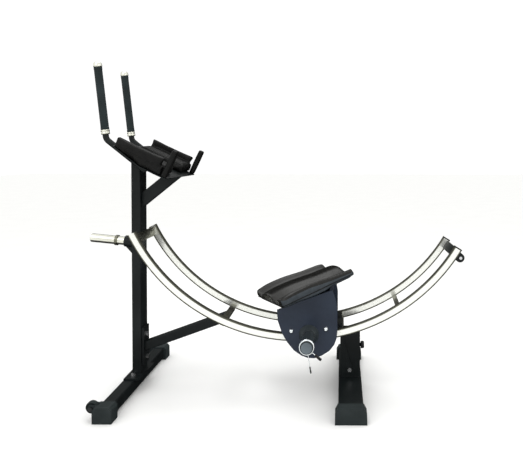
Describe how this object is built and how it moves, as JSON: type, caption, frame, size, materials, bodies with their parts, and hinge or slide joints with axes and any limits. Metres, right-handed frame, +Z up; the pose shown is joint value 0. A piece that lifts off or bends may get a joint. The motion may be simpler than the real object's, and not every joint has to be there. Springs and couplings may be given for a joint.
{
  "type": "ab crunch machine",
  "caption": "Kneeling ab crunch machine: a knee seat on a roller carriage climbs two curved rails below padded arm rests and upright grips; horns take weight plates.",
  "frame": {"origin": "on the floor under the centre of the bounding box", "axes": "+Z up, +X from the arm pads and post towards the rear leg, Y across the machine"},
  "size_m": [1.6472, 0.7, 1.4333],
  "materials": {
    "frame_paint": "satin black powder coat",
    "carriage_paint": "satin navy-black powder coat",
    "rail_steel": "polished stainless steel",
    "chrome": "bright chrome",
    "horn_sleeve": "smooth black sleeve",
    "zinc": "zinc plated",
    "foot_rubber": "matt moulded rubber",
    "grip_rubber": "ribbed soft grip",
    "pad_cover": "semi-gloss upholstery",
    "plastic": "moulded black plastic",
    "roller": "hard polyurethane"
  },
  "bodies": {
    "frame": {"front_stabilizer": "frame_paint", "rear_stabilizer": "frame_paint", "post_base": "frame_paint", "post": "frame_paint", "strut_bracket": "frame_paint", "strut": "frame_paint", "leg": "frame_paint", "leg_saddle": "frame_paint", "leg_cheeks": "frame_paint", "crossbar_rear": "frame_paint", "lift_bar": "frame_paint", "horn_socket": "frame_paint", "arm_tray": "frame_paint", "arm_brace": "frame_paint", "handle_l": "frame_paint", "handle_r": "frame_paint", "front_foot_l": "foot_rubber", "front_foot_r": "foot_rubber", "rear_foot_l": "foot_rubber", "rear_foot_r": "foot_rubber", "rail_l": "rail_steel", "rail_r": "rail_steel", "rail_lids": "rail_steel", "crossbar_front": "rail_steel", "crossbar_strut": "rail_steel", "crossbar_leg": "rail_steel", "crossbar_tie": "rail_steel", "rail_plugs": "plastic", "storage_horn": "chrome", "storage_ring": "chrome", "grip_trim": "chrome", "grip_l": "grip_rubber", "grip_r": "grip_rubber", "arm_pad_l": "pad_cover", "arm_pad_r": "pad_cover", "elbow_stop_l": "pad_cover", "elbow_stop_r": "pad_cover", "frame_bolts": "zinc", "wheel_axles": "zinc"},
    "carriage": {"side_plate_l": "carriage_paint", "side_plate_r": "carriage_paint", "bridge": "carriage_paint", "swivel_boss": "frame_paint", "weight_horn_l": "horn_sleeve", "weight_horn_r": "horn_sleeve", "roller_pins": "zinc"},
    "roller_front_l": {"roller_front_l": "roller"},
    "roller_front_r": {"roller_front_r": "roller"},
    "roller_rear_l": {"roller_rear_l": "roller"},
    "roller_rear_r": {"roller_rear_r": "roller"},
    "roller_lower_l": {"roller_lower_l": "roller"},
    "roller_lower_r": {"roller_lower_r": "roller"},
    "seat": {"seat_base": "frame_paint", "seat_pad": "pad_cover"},
    "lock": {"lock_pin": "zinc"},
    "collar_l": {"spring_collar_l": "chrome"},
    "wheel_l": {"wheel_l": "foot_rubber"},
    "collar_r": {"spring_collar_r": "chrome"},
    "wheel_r": {"wheel_r": "foot_rubber"},
    "knob": {"leg_knob": "plastic"}
  },
  "joints": [
    {"name": "carriage_travel", "type": "hinge", "parent": "frame", "child": "carriage", "pos_m": [0.1179, 0, 1.0589], "axis": [0, 1, 0], "range_deg": [-40, 45]},
    {"name": "roller_front_l_spin", "type": "hinge", "parent": "carriage", "child": "roller_front_l", "pos_m": [0.08975, -0.1254, 0.30192], "axis": [0, 1, 0], "continuous": true},
    {"name": "roller_front_r_spin", "type": "hinge", "parent": "carriage", "child": "roller_front_r", "pos_m": [0.08975, 0.1254, 0.30192], "axis": [0, 1, 0], "continuous": true},
    {"name": "roller_rear_l_spin", "type": "hinge", "parent": "carriage", "child": "roller_rear_l", "pos_m": [0.23509, -0.1254, 0.31052], "axis": [0, 1, 0], "continuous": true},
    {"name": "roller_rear_r_spin", "type": "hinge", "parent": "carriage", "child": "roller_rear_r", "pos_m": [0.23509, 0.1254, 0.31052], "axis": [0, 1, 0], "continuous": true},
    {"name": "roller_lower_l_spin", "type": "hinge", "parent": "carriage", "child": "roller_lower_l", "pos_m": [0.16675, -0.1254, 0.23184], "axis": [0, 1, 0], "continuous": true},
    {"name": "roller_lower_r_spin", "type": "hinge", "parent": "carriage", "child": "roller_lower_r", "pos_m": [0.16675, 0.1254, 0.23184], "axis": [0, 1, 0], "continuous": true},
    {"name": "seat_swivel", "type": "hinge", "parent": "carriage", "child": "seat", "pos_m": [0.1336, 0, 0.4485], "axis": [-0.3404, 0, 0.9403], "range_deg": [-48.8, 0]},
    {"name": "lock_pull", "type": "slide", "parent": "carriage", "child": "lock", "axis": [0.3404, 0, -0.9403], "range_m": [0, 0.012], "stiffness_N_per_m": 600, "springref_m": -0.02},
    {"name": "collar_slide_l", "type": "slide", "parent": "carriage", "child": "collar_l", "axis": [0, -1, 0], "range_m": [0, 0.12]},
    {"name": "wheel_spin_l", "type": "hinge", "parent": "frame", "child": "wheel_l", "pos_m": [-0.6769, -0.314, 0.052], "axis": [0, 1, 0], "continuous": true},
    {"name": "collar_slide_r", "type": "slide", "parent": "carriage", "child": "collar_r", "axis": [0, 1, 0], "range_m": [0, 0.12]},
    {"name": "wheel_spin_r", "type": "hinge", "parent": "frame", "child": "wheel_r", "pos_m": [-0.6769, 0.314, 0.052], "axis": [0, 1, 0], "continuous": true},
    {"name": "knob_turn", "type": "hinge", "parent": "frame", "child": "knob", "pos_m": [0.3936, 0, 0.1875], "axis": [1, 0, 0], "continuous": true}
  ],
  "couplings": [
    {"joint": "roller_front_l_spin", "follows": "carriage_travel", "ratio": -41.524},
    {"joint": "roller_front_r_spin", "follows": "carriage_travel", "ratio": -41.524},
    {"joint": "roller_rear_l_spin", "follows": "carriage_travel", "ratio": -41.524},
    {"joint": "roller_rear_r_spin", "follows": "carriage_travel", "ratio": -41.524},
    {"joint": "roller_lower_l_spin", "follows": "carriage_travel", "ratio": 43.289},
    {"joint": "roller_lower_r_spin", "follows": "carriage_travel", "ratio": 43.289}
  ]
}
